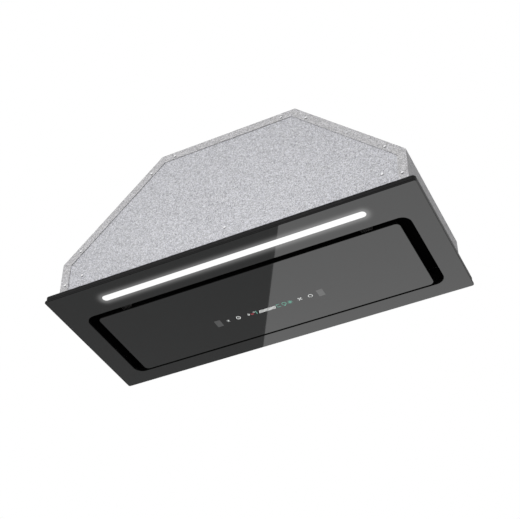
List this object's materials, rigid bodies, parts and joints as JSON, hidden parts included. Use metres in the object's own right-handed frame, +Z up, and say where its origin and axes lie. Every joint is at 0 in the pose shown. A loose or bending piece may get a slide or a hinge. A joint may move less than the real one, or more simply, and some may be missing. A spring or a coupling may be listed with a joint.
{
  "type": "built-in range hood",
  "caption": "Canopy insert hood: black glass face with a drop-down panel and lamp strip under a galvanised casing with blower, grease filters and top duct collar.",
  "frame": {"origin": "under the middle of the face glass, on its lower face", "axes": "+X along the long side to the right, +Y away from the lamp, +Z up into the cabinet"},
  "size_m": [0.7, 0.29, 0.346],
  "materials": {
    "black_glass": "polished black-printed float glass",
    "bonding_tape": "matt black foam tape",
    "black_steel": "black powder coat",
    "lamp_lens": "milky opal plastic, lit",
    "aluminium": "mill finish",
    "lamp_board": "white solder mask",
    "galvanised": "galvanised with fine spangle",
    "bright_steel": "zinc plated",
    "filter_mesh": "expanded aluminium mesh",
    "black_plastic": "moulded, fine grain",
    "grey_plastic": "moulded, fine grain",
    "white_plastic": "moulded, smooth",
    "circuit_board": "green solder mask",
    "motor_paint": "satin dark grey paint",
    "magnet": "nickel plated",
    "rubber": "matt",
    "lead_sheath": "soft sheath"
  },
  "bodies": {
    "housing": {"glass_frame": "black_glass", "glass_tape": "bonding_tape", "base_tray": "black_steel", "light_diffuser": "lamp_lens", "lamp_channel": "aluminium", "lamp_caps": "black_plastic", "lamp_board": "lamp_board", "casing_wrap": "galvanised", "front_sheet": "galvanised", "rear_sheet": "galvanised", "casing_rivets": "bright_steel", "suction_liner": "black_steel", "filter_deck": "black_steel", "filter_seats": "galvanised", "hinge_brackets": "bright_steel", "panel_magnets": "magnet", "magnet_brackets": "black_steel", "blower_band": "galvanised", "blower_sides": "galvanised", "inlet_rings": "galvanised", "blower_feet": "rubber", "throat_plate": "galvanised", "motor_stator": "bright_steel", "motor_can": "motor_paint", "motor_bearings": "bright_steel", "motor_bushes": "rubber", "motor_bracket": "galvanised", "outlet_collar": "black_plastic", "casing_screws": "bright_steel", "pivot_pins": "bright_steel", "control_box": "grey_plastic", "control_lid": "grey_plastic", "power_board": "circuit_board", "lamp_driver": "white_plastic", "run_capacitor": "white_plastic", "motor_lead": "lead_sheath", "lamp_lead": "lead_sheath", "cable_gland": "black_plastic"},
    "panel": {"panel_glass": "black_glass", "panel_tape": "bonding_tape", "panel_pan": "black_steel", "control_housing": "black_plastic", "touch_board": "circuit_board", "display_lamps": "white_plastic", "hinge_arms": "bright_steel", "panel_screws": "bright_steel", "strike_plates": "bright_steel"},
    "impeller_set": {"impeller": "grey_plastic", "impeller_blades": "grey_plastic", "impeller_nut": "bright_steel", "motor_shaft": "bright_steel", "motor_rotor": "bright_steel"},
    "filter_left": {"filter_frame_left": "aluminium", "filter_core_left": "filter_mesh"},
    "filter_right": {"filter_frame_right": "aluminium", "filter_core_right": "filter_mesh"},
    "latch_left": {"filter_latch_left": "black_plastic"},
    "latch_right": {"filter_latch_right": "black_plastic"},
    "damper_front": {"damper_flap_front": "black_plastic"},
    "damper_rear": {"damper_flap_rear": "black_plastic"}
  },
  "joints": [
    {"name": "panel_hinge", "type": "hinge", "parent": "housing", "child": "panel", "pos_m": [0, 0.1246, 0.0072], "axis": [1, 0, 0], "range_deg": [0, 85]},
    {"name": "impeller_spin", "type": "hinge", "parent": "housing", "child": "impeller_set", "pos_m": [0, -0.01999, 0.172], "axis": [1, 0, 0], "continuous": true},
    {"name": "filter_left_tilt", "type": "hinge", "parent": "housing", "child": "filter_left", "pos_m": [-0.138, 0.1111, 0.0548], "axis": [1, 0, 0], "range_deg": [0, 10]},
    {"name": "filter_right_tilt", "type": "hinge", "parent": "housing", "child": "filter_right", "pos_m": [0.138, 0.1111, 0.0548], "axis": [1, 0, 0], "range_deg": [0, 10]},
    {"name": "latch_left_pull", "type": "slide", "parent": "filter_left", "child": "latch_left", "axis": [0, 1, 0], "range_m": [0, 0.004], "stiffness_N_per_m": 300, "springref_m": -0.002},
    {"name": "latch_right_pull", "type": "slide", "parent": "filter_right", "child": "latch_right", "axis": [0, 1, 0], "range_m": [0, 0.004], "stiffness_N_per_m": 300, "springref_m": -0.002},
    {"name": "damper_front_swing", "type": "hinge", "parent": "housing", "child": "damper_front", "pos_m": [0, 0.037, 0.301], "axis": [-1, 0, 0], "range_deg": [0, 80]},
    {"name": "damper_rear_swing", "type": "hinge", "parent": "housing", "child": "damper_rear", "pos_m": [0, 0.047, 0.301], "axis": [1, 0, 0], "range_deg": [0, 80]}
  ]
}
